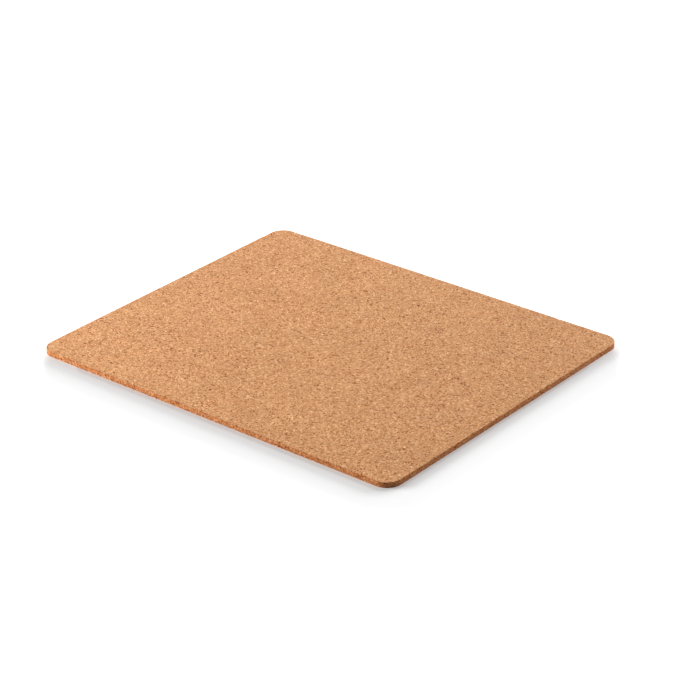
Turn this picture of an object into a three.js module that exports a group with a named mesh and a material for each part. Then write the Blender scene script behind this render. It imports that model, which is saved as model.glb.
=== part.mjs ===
// Cork mouse pad: one flat sheet of agglomerated cork, knife-cut to size with rounded corners.
// Millimetres. +X runs along the long side, +Y along the short side, and +Z points up, off the desk.
// The origin lies under the middle of the sheet, on the face that rests on the desk.

import * as THREE from 'three';

// The sheet
const sheetLength = 220;
const sheetWidth = 180;
const sheetThickness = 2.8;
const cornerRadius = 8;

// The cut edge: how far, and over what height, it draws in towards each face
const arrisInset = 0.1;
const arrisHeight = 0.8;

// How finely the curves are divided
const cornerSteps = 20;
const arrisSteps = 8;

// Finish: matt cork, in the mean tone of its granules
const corkFinish = { color: 0xd2986c, roughness: 0.9, metalness: 0 };

// The section of the cut edge, as inset from the widest outline at each height. The knife squeezes the
// cork as it goes through, so the wall stands upright only halfway up and draws in along a quarter
// ellipse towards the desk and towards the top face, where it ends in a crisp arris.
function edgeSection() {
  const drawnIn = Array.from({ length: arrisSteps + 1 }, (_, step) => {
    const turn = (Math.PI / 2) * (step / arrisSteps);
    return { inset: arrisInset * (1 - Math.cos(turn)), rise: arrisHeight * Math.sin(turn) };
  });
  const wallTop = sheetThickness - arrisHeight;
  return [
    ...drawnIn.toReversed().map(({ inset, rise }) => ({ inset, height: arrisHeight - rise })),
    ...drawnIn.map(({ inset, rise }) => ({ inset, height: wallTop + rise })),
  ];
}

// One closed outline of the sheet, counter-clockwise seen from above. The four corner arcs keep their
// centres whatever the inset, so the rings of the edge stay parallel to each other all the way round.
function outlineRing({ inset, height }) {
  const centreX = sheetLength / 2 - cornerRadius;
  const centreY = sheetWidth / 2 - cornerRadius;
  const corners = [
    new THREE.Vector2(centreX, centreY),
    new THREE.Vector2(-centreX, centreY),
    new THREE.Vector2(-centreX, -centreY),
    new THREE.Vector2(centreX, -centreY),
  ];
  return corners.flatMap((centre, quarter) => {
    const start = (Math.PI / 2) * quarter;
    const arc = new THREE.EllipseCurve(
      centre.x,
      centre.y,
      cornerRadius - inset,
      cornerRadius - inset,
      start,
      start + Math.PI / 2,
    );
    return arc.getPoints(cornerSteps).map(({ x, y }) => new THREE.Vector3(x, y, height));
  });
}

// A closed solid through a stack of rings that all have the same number of points. The rings run from
// the bottom up, and the first and the last are closed by flat faces.
function loftSolid(rings) {
  const ringSize = rings[0].length;
  const triangles = [];
  rings.slice(1).forEach((_, level) => {
    const lower = level * ringSize;
    const upper = lower + ringSize;
    for (let place = 0; place < ringSize; place += 1) {
      const next = (place + 1) % ringSize;
      triangles.push(lower + place, lower + next, upper + next);
      triangles.push(lower + place, upper + next, upper + place);
    }
  });

  const topStart = (rings.length - 1) * ringSize;
  const flatRing = rings[0].map(({ x, y }) => new THREE.Vector2(x, y));
  for (const [a, b, c] of THREE.ShapeUtils.triangulateShape(flatRing, [])) {
    triangles.push(c, b, a);
    triangles.push(topStart + a, topStart + b, topStart + c);
  }

  const geometry = new THREE.BufferGeometry().setFromPoints(rings.flat());
  geometry.setIndex(triangles);
  geometry.computeVertexNormals();
  return geometry;
}

function makeCorkSheet() {
  const solid = loftSolid(edgeSection().map(outlineRing));
  const sheet = new THREE.Mesh(solid, new THREE.MeshStandardMaterial(corkFinish));
  sheet.name = 'cork_sheet';
  return sheet;
}

const mousePad = new THREE.Group();
mousePad.name = 'cork_mouse_pad';
mousePad.add(makeCorkSheet());

export default mousePad;
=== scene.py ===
import math
import random

import bmesh
import bpy
from mathutils import Matrix, Vector
from mathutils.geometry import delaunay_2d_cdt


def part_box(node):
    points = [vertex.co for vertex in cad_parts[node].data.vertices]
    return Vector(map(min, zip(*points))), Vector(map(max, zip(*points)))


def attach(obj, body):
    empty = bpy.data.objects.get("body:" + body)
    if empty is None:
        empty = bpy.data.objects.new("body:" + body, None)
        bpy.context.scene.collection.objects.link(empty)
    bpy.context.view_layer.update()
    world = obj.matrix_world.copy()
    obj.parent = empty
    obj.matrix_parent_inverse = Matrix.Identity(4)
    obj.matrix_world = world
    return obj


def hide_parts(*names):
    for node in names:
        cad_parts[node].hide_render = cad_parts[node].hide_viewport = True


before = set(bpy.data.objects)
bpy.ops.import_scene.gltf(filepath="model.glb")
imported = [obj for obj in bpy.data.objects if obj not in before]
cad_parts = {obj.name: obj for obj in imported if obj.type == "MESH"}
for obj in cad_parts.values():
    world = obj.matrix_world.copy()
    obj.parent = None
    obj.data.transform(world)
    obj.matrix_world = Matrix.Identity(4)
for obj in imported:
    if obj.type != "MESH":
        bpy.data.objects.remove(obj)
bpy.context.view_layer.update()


# The cork sheet
# The whole pad is one sheet of cork granules, pressed with a little binder, sliced and sanded to just
# under 3 mm. The knife that cuts it out draws its wall in towards both faces and crumbles its arrises.
lowest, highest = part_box("cork_sheet")
length, width, thickness = highest - lowest
corner_radius = 0.008
corner_middle_x = length / 2 - corner_radius
corner_middle_y = width / 2 - corner_radius
top_draw = 0.0001
top_draw_height = 0.0008
bottom_draw = 0.0001
bottom_draw_height = 0.0008

# The mesh is finest on the cut edge, where the crumbs show, and coarser inside.
edge_step = 0.00034
bottom_draw_steps = 4
wall_steps = 3
top_draw_steps = 6
rim_insets = (0.00015, 0.0004, 0.0008, 0.0014)
top_step = 0.00105
under_step = 0.0026
lattice_jitter_share = 0.22
lattice_margin_share = 0.6
lattice_seed = 5
keep_inside_faces = 1
weld_distance = 0.00001
same_place_distance = weld_distance ** 2
cut_mark = "cut_face"


def direction_at(turn):
    """The direction at an angle, counter-clockwise from +X as seen from above."""
    return Vector((math.cos(turn), math.sin(turn)))


def outline_columns():
    """Places along the widest outline, counter-clockwise from above, each with its outward direction."""
    centres = [Vector((x, y)) for x, y in (
        (corner_middle_x, corner_middle_y), (-corner_middle_x, corner_middle_y),
        (-corner_middle_x, -corner_middle_y), (corner_middle_x, -corner_middle_y))]
    quarter = math.pi / 2
    arc_steps = round(corner_radius * quarter / edge_step)
    columns = []
    for corner, centre in enumerate(centres):
        for step in range(arc_steps):
            outward = direction_at(quarter * (corner + step / arc_steps))
            columns.append((centre + corner_radius * outward, outward))
        outward = direction_at(quarter * (corner + 1))
        start = centre + corner_radius * outward
        end = centres[(corner + 1) % len(centres)] + corner_radius * outward
        side_steps = round((end - start).length / edge_step)
        columns += [(start.lerp(end, step / side_steps), outward) for step in range(side_steps)]
    return columns


def edge_section():
    """Rows of the cut edge from the desk up over the top arris: inset, height and share of cut face."""
    def drawn_in(draw, rise, share):
        turn = math.pi / 2 * share
        inward, upward = draw * math.sin(turn), rise * math.cos(turn)
        return draw * (1 - math.cos(turn)), rise * math.sin(turn), upward / math.hypot(inward, upward)

    rows = []
    for step in range(bottom_draw_steps):
        inset, drop, cut = drawn_in(bottom_draw, bottom_draw_height, 1 - step / bottom_draw_steps)
        rows.append((inset, bottom_draw_height - drop, cut))
    wall_top = thickness - top_draw_height
    for step in range(wall_steps):
        share = step / wall_steps
        rows.append((0, bottom_draw_height + (wall_top - bottom_draw_height) * share, 1))
    for step in range(top_draw_steps + 1):
        inset, rise, cut = drawn_in(top_draw, top_draw_height, step / top_draw_steps)
        rows.append((inset, wall_top + rise, cut))
    rows += [(inset, thickness, 0) for inset in rim_insets]
    return rows


def fill_outline(mesh, columns, inset, height, step, upward):
    """Fills the outline at an inset with a slightly uneven triangular lattice of the given step."""
    jitter = random.Random(lattice_seed)
    row_step = step * math.sqrt(3) / 2
    room = corner_radius - inset - step * lattice_margin_share
    last_row = int(width / 2 / row_step)
    last_place = int(length / 2 / step)
    inside = []
    for row in range(-last_row, last_row + 1):
        for place in range(-last_place - 1, last_place + 1):
            x = (place + (row % 2) / 2 + jitter.uniform(-1, 1) * lattice_jitter_share) * step
            y = (row + jitter.uniform(-1, 1) * lattice_jitter_share) * row_step
            past_middle = Vector((max(abs(x) - corner_middle_x, 0), max(abs(y) - corner_middle_y, 0)))
            if past_middle.length < room:
                inside.append(Vector((x, y)))
    border = [place - inset * outward for place, outward in columns]
    filled = [list(range(len(border)))]
    places, _, faces, *_ = delaunay_2d_cdt(
        border + inside, [], filled, keep_inside_faces, same_place_distance)
    corners = [mesh.verts.new((*place, height)) for place in places]
    for face in faces:
        mesh.faces.new([corners[index] for index in (face if upward else reversed(face))])


def make_cut_sheet():
    """The sheet as the knife leaves it, closed all round, with its cut face marked for the finish."""
    mesh = bmesh.new()
    cut_face = mesh.verts.layers.float.new(cut_mark)
    columns = outline_columns()
    rings = []
    for inset, height, share in edge_section():
        ring = []
        for place, outward in columns:
            corner = mesh.verts.new((*(place - inset * outward), height))
            corner[cut_face] = share
            ring.append(corner)
        rings.append(ring)
    for lower, upper in zip(rings, rings[1:]):
        for place in range(len(columns)):
            after = (place + 1) % len(columns)
            mesh.faces.new((lower[place], lower[after], upper[after], upper[place]))
    fill_outline(mesh, columns, bottom_draw, 0, under_step, upward=False)
    fill_outline(mesh, columns, rim_insets[-1], thickness, top_step, upward=True)
    bmesh.ops.remove_doubles(mesh, verts=mesh.verts, dist=weld_distance)
    bmesh.ops.triangulate(mesh, faces=mesh.faces)
    sheet_mesh = bpy.data.meshes.new("cork_pad")
    mesh.to_mesh(sheet_mesh)
    mesh.free()
    return sheet_mesh


def add_node(tree, kind, inputs=(), **settings):
    """Adds a node to a tree. An input is given a value, or the output socket that it is linked from."""
    node = tree.nodes.new(kind)
    for name, value in settings.items():
        setattr(node, name, value)
    for name, value in dict(inputs).items():
        if isinstance(value, bpy.types.NodeSocket):
            tree.links.new(value, node.inputs[name])
        else:
            node.inputs[name].default_value = value
    return node


def work_out(tree, operation, *values):
    """Works out a sum of one or more numbers in a tree."""
    return add_node(tree, "ShaderNodeMath", enumerate(values), operation=operation).outputs[0]


def move_place(tree, operation, *values):
    """Works out a sum of one or more vectors in a tree."""
    return add_node(tree, "ShaderNodeVectorMath", enumerate(values), operation=operation).outputs[0]


def scale_vector(tree, vector, factor):
    """A vector or a colour in a tree, times a number."""
    return add_node(tree, "ShaderNodeVectorMath", {0: vector, "Scale": factor},
                    operation="SCALE").outputs[0]


def mix_numbers(tree, share, first, second):
    """A number between two others in a tree, by the share that the second has in it."""
    return add_node(tree, "ShaderNodeMix", {"Factor": share, "A": first, "B": second},
                    data_type="FLOAT").outputs[0]


def ease(tree, value, low, high, low_result=0.0, high_result=1.0):
    """Runs smoothly from one result to another as a value goes from low to high."""
    limits = {"Value": value, "From Min": low, "From Max": high,
              "To Min": low_result, "To Max": high_result}
    return add_node(tree, "ShaderNodeMapRange", limits, interpolation_type="SMOOTHSTEP").outputs[0]


noise_middle = (0.5, 0.5, 0.5)


def granules(tree, place, size, unevenness, shift):
    """Packed granules: three random numbers for each, and how far a place is from middle and seam."""
    scale = work_out(tree, "DIVIDE", 1.0, size)
    shifted = move_place(tree, "ADD", place, shift)
    swirl = add_node(tree, "ShaderNodeTexNoise", {"Vector": shifted, "Scale": scale, "Detail": 0.0})
    centred = move_place(tree, "SUBTRACT", swirl.outputs["Color"], noise_middle)
    bent = scale_vector(tree, centred, work_out(tree, "MULTIPLY", size, unevenness))
    packed = {"Vector": move_place(tree, "ADD", shifted, bent), "Scale": scale}
    grain = add_node(tree, "ShaderNodeTexVoronoi", packed)
    seam = add_node(tree, "ShaderNodeTexVoronoi", packed, feature="DISTANCE_TO_EDGE")
    chances = add_node(tree, "ShaderNodeSeparateXYZ", {0: grain.outputs["Color"]}).outputs
    return *chances, grain.outputs["Distance"], seam.outputs["Distance"]


# How coarse the cork is ground, how rough the sander and the knife leave it, and what falls out of it.
granule_size = 0.00076
granule_unevenness = 0.9
granule_shift = (0.31, 0.17, 0.05)
flank_share = 0.22
face_relief = 0.00005
cut_relief = 0.00013
missing_share = 0.05
pit_depth = 0.00014
crumb_share = 0.2
crumb_depth = 0.00034
arris_reach = 0.0009


def make_granule_relief():
    """The nodes that roughen the sheet: uneven granules, pits where one fell out, and crumbled arrises."""
    tree = bpy.data.node_groups.new("granule_relief", "GeometryNodeTree")
    sockets = tree.interface
    sockets.new_socket("Geometry", in_out="INPUT", socket_type="NodeSocketGeometry")
    for name in ("Granule Size", "Face Relief", "Pit Depth", "Cut Relief", "Crumb Depth", "Arris Reach",
                 "Sheet Thickness"):
        sockets.new_socket(name, in_out="INPUT", socket_type="NodeSocketFloat").subtype = "DISTANCE"
    for name in ("Missing Share", "Crumb Share"):
        sockets.new_socket(name, in_out="INPUT", socket_type="NodeSocketFloat")
    sockets.new_socket("Seed", in_out="INPUT", socket_type="NodeSocketVector")
    sockets.new_socket("Material", in_out="INPUT", socket_type="NodeSocketMaterial")
    sockets.new_socket("Geometry", in_out="OUTPUT", socket_type="NodeSocketGeometry")
    given = tree.nodes.new("NodeGroupInput").outputs
    place = tree.nodes.new("GeometryNodeInputPosition").outputs[0]
    facing = tree.nodes.new("GeometryNodeInputNormal").outputs[0]
    cut = add_node(tree, "GeometryNodeInputNamedAttribute", {"Name": cut_mark},
                   data_type="FLOAT").outputs[0]
    level, pit_chance, crumb_chance, _, seam = granules(
        tree, place, given["Granule Size"], granule_unevenness, given["Seed"])
    inside = ease(tree, seam, 0.0, flank_share)

    # How near a place is to an arris, where the cut face meets the top or the desk.
    height = add_node(tree, "ShaderNodeSeparateXYZ", {0: place}).outputs[2]
    below_top = work_out(tree, "SUBTRACT", given["Sheet Thickness"], height)
    to_arris = work_out(tree, "MINIMUM", below_top, height)
    nearness = ease(tree, to_arris, 0.0, given["Arris Reach"], 1.0, 0.0)
    near_arris = work_out(tree, "MULTIPLY", cut, nearness)
    off_desk = ease(tree, height, 0.0, given["Arris Reach"])

    # How deep each place lies under the surface that the knife and the sander left.
    rough = mix_numbers(tree, cut, given["Face Relief"], given["Cut Relief"])
    uneven = work_out(tree, "MULTIPLY", level, rough)
    pitted = work_out(tree, "MULTIPLY", work_out(tree, "LESS_THAN", pit_chance, given["Missing Share"]),
                      given["Pit Depth"])
    crumbed = work_out(tree, "MULTIPLY", work_out(tree, "LESS_THAN", crumb_chance, given["Crumb Share"]),
                       work_out(tree, "MULTIPLY", near_arris, given["Crumb Depth"]))
    deepest = work_out(tree, "MAXIMUM", pitted, crumbed)
    depth = work_out(tree, "MULTIPLY", work_out(tree, "ADD", uneven, deepest),
                     work_out(tree, "MULTIPLY", inside, off_desk))
    offset = scale_vector(tree, facing, work_out(tree, "MULTIPLY", depth, -1.0))
    moved = add_node(tree, "GeometryNodeSetPosition", {"Geometry": given["Geometry"], "Offset": offset})
    smooth = add_node(tree, "GeometryNodeSetShadeSmooth", {"Geometry": moved.outputs[0]})
    real = add_node(tree, "GeometryNodeRealizeInstances", {"Geometry": smooth.outputs[0]})
    finished = add_node(tree, "GeometryNodeSetMaterial",
                        {"Geometry": real.outputs[0], "Material": given["Material"]})
    add_node(tree, "NodeGroupOutput", {"Geometry": finished.outputs[0]})
    return tree


def run_nodes(piece, tree, values):
    """Gives a piece the mesh that a node tree makes of it, as a plain mesh with no modifier left."""
    modifier = piece.modifiers.new(tree.name, "NODES")
    modifier.node_group = tree
    for socket in tree.interface.items_tree:
        if socket.in_out == "INPUT" and socket.name in values:
            modifier[socket.identifier] = values[socket.name]
    evaluated = piece.evaluated_get(bpy.context.evaluated_depsgraph_get())
    made = bpy.data.meshes.new_from_object(evaluated)
    piece.modifiers.remove(modifier)
    piece.data = made
    made.name = piece.name


kernel_core_share = 0.6


def make_granule_tone():
    """A shader group: the tone, the gaps and the kernels of packed granules of one size."""
    group = bpy.data.node_groups.new("granule_tone", "ShaderNodeTree")
    sockets = group.interface
    for name in ("Place", "Shift"):
        sockets.new_socket(name, in_out="INPUT", socket_type="NodeSocketVector")
    for name in ("Granule Size", "Unevenness", "Gap Share", "Kernel Share"):
        sockets.new_socket(name, in_out="INPUT", socket_type="NodeSocketFloat")
    for name in ("Tone", "Chance", "Gap", "Kernel"):
        sockets.new_socket(name, in_out="OUTPUT", socket_type="NodeSocketFloat")
    given = group.nodes.new("NodeGroupInput").outputs
    tone, chance, _, from_middle, seam = granules(
        group, given["Place"], given["Granule Size"], given["Unevenness"], given["Shift"])
    gap = ease(group, seam, 0.0, given["Gap Share"], 1.0, 0.0)
    core = work_out(group, "MULTIPLY", given["Kernel Share"], kernel_core_share)
    kernel = ease(group, from_middle, core, given["Kernel Share"], 1.0, 0.0)
    add_node(group, "NodeGroupOutput", {"Tone": tone, "Chance": chance, "Gap": gap, "Kernel": kernel})
    return group


def srgb(red, green, blue):
    """A colour as seen, 0 to 255 a channel, in the shader's linear numbers."""
    def linear(value):
        share = value / 255
        return share / 12.92 if share <= 0.04045 else ((share + 0.055) / 1.055) ** 2.4
    return linear(red), linear(green), linear(blue), 1.0


bark_brown = srgb(112, 47, 6)
dark_granule = srgb(139, 66, 20)
toasted_granule = srgb(194, 129, 75)
plain_granule = srgb(218, 159, 109)
pale_granule = srgb(232, 180, 130)
straw_granule = srgb(247, 201, 153)
# The cut face is tinted darker and redder: partly its own tone, partly painted shade that deepens the
# walls beyond the lamps' shade.
cut_face_and_shade_tint = (0.95, 0.8, 0.71, 1.0)

# Where these tones lie between the darkest granules, at 0, and the palest, at 1.
middle_tones = ((0.17, toasted_granule), (0.45, plain_granule), (0.82, pale_granule))

# The layers of granules that colour the sheet: as ground, crushed finer, and sparse flecks of outer bark.
# Gaps and kernels are shares of a granule, and each layer's shift keeps it from repeating another.
ground_layer = {"Granule Size": granule_size, "Unevenness": granule_unevenness, "Gap Share": 0.09,
                "Shift": granule_shift}
fine_layer = {"Granule Size": granule_size / 2, "Unevenness": granule_unevenness, "Gap Share": 0.12,
              "Shift": (0.9, 0.4, 0.2)}
fleck_layer = {"Granule Size": 0.0022, "Unevenness": granule_unevenness, "Kernel Share": 0.32,
               "Shift": (0.5, 0.8, 0.6)}
crushed_starts = 0.35
crushed_is_full = 0.5
# The gaps between granules are darkened: partly their dark seams, partly painted shade in the crevices,
# more so on the cut face.
face_seam_and_shade = 0.4
cut_seam_and_shade = 0.75
bark_is_full = 0.04
bark_ends = 0.14
bark_darkness = 0.9

# The whole sheet drifts a little in tone from place to place, over a few centimetres.
drift_scale = 40.0
drift_detail = 2.0
drift_low = 0.3
drift_high = 0.7
drift_darkest = 0.97
drift_palest = 1.03

# Cork is dull, and its gaps lie deeper than its granules.
dark_roughness = 0.8
pale_roughness = 0.92
specular_level = 0.1
tone_rise_share = 0.5
bump_strength = 0.3
bump_depth = 0.00008


def mix_colour(tree, way, share, first, second):
    """One colour laid over another."""
    mixer = add_node(tree, "ShaderNodeMix", data_type="RGBA", blend_type=way)
    for name, value in (("Factor_Float", share), ("A_Color", first), ("B_Color", second)):
        socket = next(entry for entry in mixer.inputs if entry.identifier == name)
        if isinstance(value, bpy.types.NodeSocket):
            tree.links.new(value, socket)
        else:
            socket.default_value = value
    return next(entry for entry in mixer.outputs if entry.identifier == "Result_Color")


def empty_tree(owner):
    """The node tree of a new material or world, with nothing in it yet."""
    owner.use_nodes = True
    owner.node_tree.nodes.clear()
    return owner.node_tree


def make_cork_finish():
    """Ground cork in five tones with bark flecks; its dark gaps and redder cut face are partly painted
    shade.
    """
    material = bpy.data.materials.new("ground_cork")
    tree = empty_tree(material)
    place = tree.nodes.new("ShaderNodeTexCoord").outputs["Object"]
    cut = add_node(tree, "ShaderNodeAttribute", attribute_name=cut_mark).outputs["Fac"]
    group = make_granule_tone()
    ground, fine, flecks = (
        add_node(tree, "ShaderNodeGroup", {"Place": place, **layer}, node_tree=group).outputs
        for layer in (ground_layer, fine_layer, fleck_layer))

    # About a third of the granules keep a tone of their own, and half are made up of finer ones.
    crushed = ease(tree, ground["Chance"], crushed_starts, crushed_is_full)
    tone = mix_numbers(tree, crushed, ground["Tone"], fine["Tone"])
    ramp = add_node(tree, "ShaderNodeValToRGB", {"Fac": tone})
    stops = ramp.color_ramp.elements
    stops[0].color = dark_granule
    stops[1].color = straw_granule
    for position, colour in middle_tones:
        stops.new(position).color = colour
    gap = work_out(tree, "MAXIMUM", ground["Gap"], work_out(tree, "MULTIPLY", fine["Gap"], crushed))
    # Darkened gaps: seams, and painted shade in the crevices.
    seam_and_shade_darkness = ease(tree, cut, 0.0, 1.0, face_seam_and_shade, cut_seam_and_shade)
    seam_and_shade_share = work_out(tree, "MULTIPLY", gap, seam_and_shade_darkness)
    seamed = mix_colour(tree, "MIX", seam_and_shade_share, ramp.outputs[0], dark_granule)
    bark = work_out(tree, "MULTIPLY", flecks["Kernel"],
                    ease(tree, flecks["Tone"], bark_is_full, bark_ends, bark_darkness, 0.0))
    barked = mix_colour(tree, "MIX", bark, seamed, bark_brown)
    drift = add_node(tree, "ShaderNodeTexNoise",
                     {"Vector": place, "Scale": drift_scale, "Detail": drift_detail})
    drift_level = ease(tree, drift.outputs["Fac"], drift_low, drift_high, drift_darkest, drift_palest)
    drifted = scale_vector(tree, barked, drift_level)
    # The cut face, partly its own redder tone and partly painted shade.
    cut_and_shade_tone = mix_colour(tree, "MULTIPLY", cut, drifted, cut_face_and_shade_tint)

    rough = ease(tree, tone, 0.0, 1.0, dark_roughness, pale_roughness)
    height = work_out(tree, "SUBTRACT", work_out(tree, "MULTIPLY", tone, tone_rise_share), gap)
    bump = add_node(tree, "ShaderNodeBump",
                    {"Height": height, "Strength": bump_strength, "Distance": bump_depth})
    shader = add_node(tree, "ShaderNodeBsdfPrincipled",
                      {"Base Color": cut_and_shade_tone, "Roughness": rough, "Specular IOR Level": specular_level,
                       "Normal": bump.outputs[0]})
    add_node(tree, "ShaderNodeOutputMaterial", {"Surface": shader.outputs[0]})
    return material


sheet = bpy.data.objects.new("cork_pad", make_cut_sheet())
bpy.context.scene.collection.objects.link(sheet)
run_nodes(sheet, make_granule_relief(), {
    "Granule Size": granule_size,
    "Face Relief": face_relief,
    "Pit Depth": pit_depth,
    "Cut Relief": cut_relief,
    "Crumb Depth": crumb_depth,
    "Arris Reach": arris_reach,
    "Sheet Thickness": thickness,
    "Missing Share": missing_share,
    "Crumb Share": crumb_share,
    "Seed": granule_shift,
    "Material": make_cork_finish(),
})
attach(sheet, "root")
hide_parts("cork_sheet")


# The floor and the backdrop
# A plain pale board under the sheet, which takes the lamps' shadow of it and turns to pure white further
# out.
# Past the sheet's left and right corners its glow paints that shadow out.
floor_half = 4.0
floor_tone = 0.74
white_glow = 1.0

# The floor's glow is least over a patch that is smaller than the sheet and lies nearer to the camera,
# which paints a soft shadow round the sheet. A painted light slope makes the glow grow towards the
# sheet's front right side, where less of the lamps' light reaches the floor.
shadow_patch_margin = 0.0114
shadow_patch_middle = (0.0122, -0.0132, 0.0)
shadow_patch_glow = 0.0795
nearby_glow = 0.172
nearby_starts = 0.0018
white_starts = 0.0135
white_is_full = 0.0425
painted_light_slope = (0.973, -0.292, 0.0)
left_to_right = (0.764, 0.645, 0.0)
painted_white_ends_start = 0.1357
painted_white_ends_full = 0.1524

floor_mesh = bpy.data.meshes.new("floor")
floor_mesh.from_pydata(
    [(-floor_half, -floor_half, 0), (floor_half, -floor_half, 0), (floor_half, floor_half, 0),
     (-floor_half, floor_half, 0)], [], [(0, 1, 2, 3)])
floor = bpy.data.objects.new("floor", floor_mesh)
bpy.context.scene.collection.objects.link(floor)


def seen_directly(tree):
    """1 for what the camera sees, also in gloss and through glass, and 0 for what only gives light."""
    path = tree.nodes.new("ShaderNodeLightPath").outputs
    reflected = work_out(tree, "MAXIMUM", path["Is Glossy Ray"], path["Is Transmission Ray"])
    return work_out(tree, "MAXIMUM", path["Is Camera Ray"], reflected)


def along(tree, place, direction):
    """How far a place lies along a direction, times the direction's own length."""
    return add_node(tree, "ShaderNodeVectorMath", {0: place, 1: direction},
                    operation="DOT_PRODUCT").outputs["Value"]


def make_floor_finish():
    """Matt white, with a glow that only the camera sees, dimmed in a painted shadow round the sheet."""
    material = bpy.data.materials.new("white_floor")
    tree = empty_tree(material)
    seen = seen_directly(tree)
    place = tree.nodes.new("ShaderNodeTexCoord").outputs["Object"]
    rim = shadow_patch_margin + corner_radius
    corner_middle = (length / 2 - rim, width / 2 - rim, 0.0)
    from_middle = move_place(tree, "ABSOLUTE", move_place(tree, "SUBTRACT", place, shadow_patch_middle))
    past_middle = move_place(tree, "SUBTRACT", from_middle, corner_middle)
    outside = move_place(tree, "MAXIMUM", past_middle, (0.0, 0.0, 0.0))
    reach = add_node(tree, "ShaderNodeVectorMath", {0: outside}, operation="LENGTH").outputs["Value"]
    from_shadow_patch = work_out(tree, "SUBTRACT", reach, corner_radius)
    # The dim patch is a painted shadow round the sheet.
    level_glow = ease(tree, from_shadow_patch, 0.0, nearby_starts, shadow_patch_glow, nearby_glow)
    nearby = work_out(tree, "ADD", along(tree, place, painted_light_slope), level_glow)
    whitened = ease(tree, from_shadow_patch, white_starts, white_is_full, nearby, white_glow)
    # Past the left and right ends the glow paints the floor white over the lamps' shadow.
    off_middle = work_out(tree, "ABSOLUTE", along(tree, place, left_to_right))
    strength = ease(tree, off_middle, painted_white_ends_start, painted_white_ends_full, whitened, white_glow)
    matt = add_node(tree, "ShaderNodeBsdfDiffuse", {"Color": (floor_tone, floor_tone, floor_tone, 1.0)})
    glow = add_node(tree, "ShaderNodeEmission", {"Strength": work_out(tree, "MULTIPLY", seen, strength)})
    surface = add_node(tree, "ShaderNodeAddShader", {0: matt.outputs[0], 1: glow.outputs[0]})
    add_node(tree, "ShaderNodeOutputMaterial", {"Surface": surface.outputs[0]})
    return material


floor_mesh.materials.append(make_floor_finish())


# The light
# Lit mostly from behind: two wide soft boxes, one above the other, a third behind to the right, and a
# small one close by on the left, with very little light from all round.
world_strength = 0.04


def make_world():
    """A white backdrop that hardly lights the sheet."""
    world = bpy.data.worlds.new("studio")
    tree = empty_tree(world)
    strength = mix_numbers(tree, seen_directly(tree), world_strength, white_glow)
    backdrop = add_node(tree, "ShaderNodeBackground",
                        {"Color": (1.0, 1.0, 1.0, 1.0), "Strength": strength})
    add_node(tree, "ShaderNodeOutputWorld", {"Surface": backdrop.outputs[0]})
    return world


bpy.context.scene.world = make_world()


def view_direction(azimuth, elevation):
    """The direction from the sheet towards a place round it: azimuth 0 is at its -Y side."""
    turn, rise = math.radians(azimuth), math.radians(elevation)
    return Vector((math.sin(turn) * math.cos(rise), -math.cos(turn) * math.cos(rise), math.sin(rise)))


def add_soft_box(name, azimuth, elevation, distance, size, power):
    """An area light that looks at the middle of the sheet."""
    lamp = bpy.data.lights.new(name, "AREA")
    lamp.shape = "RECTANGLE"
    lamp.size, lamp.size_y = size
    lamp.energy = power
    box = bpy.data.objects.new(name, lamp)
    direction = view_direction(azimuth, elevation)
    turn = direction.to_track_quat("Z", "Y").to_matrix().to_4x4()
    box.matrix_world = Matrix.Translation(direction * distance) @ turn
    box.visible_camera = False
    bpy.context.scene.collection.objects.link(box)


add_soft_box("low_back_box", azimuth=220, elevation=14, distance=2.6, size=(3.6, 0.7), power=32.6)
add_soft_box("high_back_box", azimuth=220, elevation=34, distance=2.6, size=(3.2, 1.0), power=26.4)
add_soft_box("right_back_box", azimuth=165, elevation=15, distance=1.4, size=(1.2, 0.35), power=26.4)
add_soft_box("left_box", azimuth=310, elevation=19, distance=0.85, size=(0.5, 0.25), power=9.7)


# The camera
# It stands where the photograph was taken from, out beyond the near corner, slightly tilted to one side.
camera_azimuth = 40.154
camera_elevation = 26.989
camera_spin = -1.1787
camera_distance = 1.19206
camera_aim = Vector((0.008786, 0.004765, 0))
camera_lens = 125.538
sensor_width = 36

camera_data = bpy.data.cameras.new("camera")
camera_data.sensor_width = sensor_width
camera_data.lens = camera_lens
camera = bpy.data.objects.new("camera", camera_data)
bpy.context.scene.collection.objects.link(camera)
camera.matrix_world = (
    Matrix.Translation(camera_aim + view_direction(camera_azimuth, camera_elevation) * camera_distance)
    @ Matrix.Rotation(math.radians(camera_azimuth), 4, "Z")
    @ Matrix.Rotation(math.radians(90 - camera_elevation), 4, "X")
    @ Matrix.Rotation(math.radians(camera_spin), 4, "Z"))
bpy.context.scene.camera = camera
bpy.context.scene.view_settings.view_transform = "Standard"
